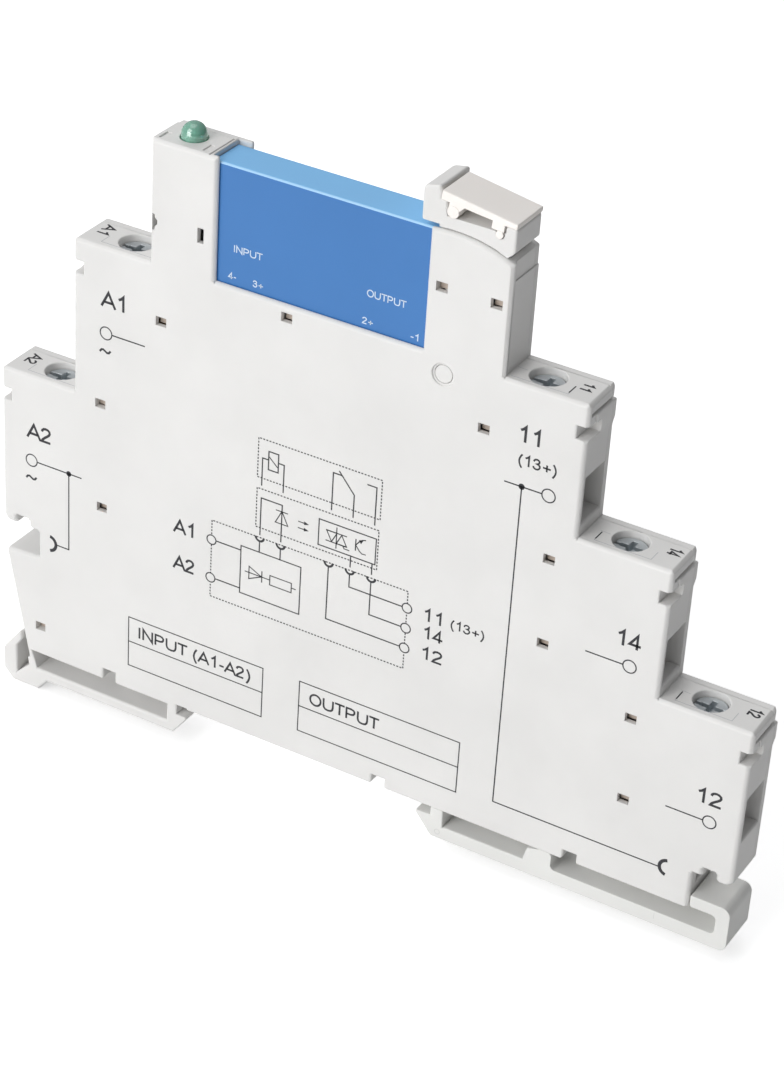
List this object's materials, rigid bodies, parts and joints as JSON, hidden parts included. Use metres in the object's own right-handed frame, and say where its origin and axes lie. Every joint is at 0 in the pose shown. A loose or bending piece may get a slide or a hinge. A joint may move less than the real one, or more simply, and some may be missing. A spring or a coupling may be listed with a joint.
{
  "type": "slim interface relay",
  "caption": "Slim interface relay for a 35 mm top-hat rail: a blue plug-in relay in a stepped grey socket, with ejector lever, marker plate, lamp and screw terminals.",
  "frame": {"origin": "middle of the rail's width, in the middle of the case's thickness, on the face that rests on the rail", "axes": "+X across the rail towards the latch, +Y along the rail towards the rear cover, +Z away from the rail"},
  "size_m": [0.0996, 0.0062, 0.0842],
  "materials": {
    "case_plastic": "fine satin moulding",
    "clip_plastic": "satin moulding",
    "marker_plastic": "matte, cream",
    "relay_blue": "slightly glossy",
    "relay_dark": "matte",
    "contact_tin": "tinned",
    "board_green": "solder resist",
    "chip_black": "matte",
    "capacitor_red": "dipped",
    "capacitor_amber": "dipped",
    "screw_zinc": "zinc plated",
    "clamp_zinc": "zinc plated",
    "copper_alloy": "stamped strip",
    "lamp_green": "tinted, glossy"
  },
  "bodies": {
    "housing": {"front_shell": "case_plastic", "rear_cover": "case_plastic", "circuit_board": "board_green", "bridge_rectifier": "chip_black", "dropper_capacitor": "capacitor_red", "smoothing_capacitor": "capacitor_amber", "series_resistors": "chip_black", "status_lamp": "lamp_green", "coil_contacts": "copper_alloy", "switch_contacts": "copper_alloy", "jumper_contact_a2": "copper_alloy", "jumper_contact_11": "copper_alloy", "busbar_a1": "copper_alloy", "busbar_a2": "copper_alloy", "busbar_11": "copper_alloy", "busbar_14": "copper_alloy", "busbar_12": "copper_alloy"},
    "ejector": {"ejector_lever": "clip_plastic", "marker_plate": "marker_plastic"},
    "relay": {"relay_case": "relay_blue", "relay_base": "relay_dark", "relay_pins": "contact_tin", "relay_board": "board_green", "relay_chips": "chip_black"},
    "rail_latch": {"rail_latch": "clip_plastic"},
    "screw_a1": {"screw_a1": "screw_zinc"},
    "clamp_a1": {"clamp_a1": "clamp_zinc"},
    "screw_a2": {"screw_a2": "screw_zinc"},
    "clamp_a2": {"clamp_a2": "clamp_zinc"},
    "screw_11": {"screw_11": "screw_zinc"},
    "clamp_11": {"clamp_11": "clamp_zinc"},
    "screw_14": {"screw_14": "screw_zinc"},
    "clamp_14": {"clamp_14": "clamp_zinc"},
    "screw_12": {"screw_12": "screw_zinc"},
    "clamp_12": {"clamp_12": "clamp_zinc"}
  },
  "joints": [
    {"name": "lever_turn", "type": "hinge", "parent": "housing", "child": "ejector", "pos_m": [0.01522, 0, 0.05665], "axis": [0, 1, 0], "range_deg": [0, 18]},
    {"name": "relay_lift", "type": "slide", "parent": "housing", "child": "relay", "axis": [0, 0, 1], "range_m": [0, 0.00252]},
    {"name": "latch_slide", "type": "slide", "parent": "housing", "child": "rail_latch", "axis": [1, 0, 0], "range_m": [0, 0.0022], "stiffness_N_per_m": 800, "springref_m": -0.0005},
    {"name": "screw_turn_a1", "type": "hinge", "parent": "housing", "child": "screw_a1", "pos_m": [-0.02635, 0, 0.0587], "axis": [0, 0, -1], "range_deg": [0, 2161]},
    {"name": "clamp_rise_a1", "type": "slide", "parent": "housing", "child": "clamp_a1", "axis": [0, 0, 1], "range_m": [0, 0.003]},
    {"name": "screw_turn_a2", "type": "hinge", "parent": "housing", "child": "screw_a2", "pos_m": [-0.03665, 0, 0.0388], "axis": [0, 0, -1], "range_deg": [0, 2161]},
    {"name": "clamp_rise_a2", "type": "slide", "parent": "housing", "child": "clamp_a2", "axis": [0, 0, 1], "range_m": [0, 0.003]},
    {"name": "screw_turn_11", "type": "hinge", "parent": "housing", "child": "screw_11", "pos_m": [0.02625, 0, 0.0587], "axis": [0, 0, -1], "range_deg": [0, 2161]},
    {"name": "clamp_rise_11", "type": "slide", "parent": "housing", "child": "clamp_11", "axis": [0, 0, 1], "range_m": [0, 0.003]},
    {"name": "screw_turn_14", "type": "hinge", "parent": "housing", "child": "screw_14", "pos_m": [0.0378, 0, 0.04235], "axis": [0, 0, -1], "range_deg": [0, 2161]},
    {"name": "clamp_rise_14", "type": "slide", "parent": "housing", "child": "clamp_14", "axis": [0, 0, 1], "range_m": [0, 0.003]},
    {"name": "screw_turn_12", "type": "hinge", "parent": "housing", "child": "screw_12", "pos_m": [0.04935, 0, 0.026], "axis": [0, 0, -1], "range_deg": [0, 2161]},
    {"name": "clamp_rise_12", "type": "slide", "parent": "housing", "child": "clamp_12", "axis": [0, 0, 1], "range_m": [0, 0.003]}
  ],
  "couplings": [
    {"joint": "relay_lift", "follows": "lever_turn", "m_per_rad": 0.008},
    {"joint": "screw_turn_a1", "follows": "clamp_rise_a1", "rad_per_m": 12566},
    {"joint": "screw_turn_a2", "follows": "clamp_rise_a2", "rad_per_m": 12566},
    {"joint": "screw_turn_11", "follows": "clamp_rise_11", "rad_per_m": 12566},
    {"joint": "screw_turn_14", "follows": "clamp_rise_14", "rad_per_m": 12566},
    {"joint": "screw_turn_12", "follows": "clamp_rise_12", "rad_per_m": 12566}
  ]
}
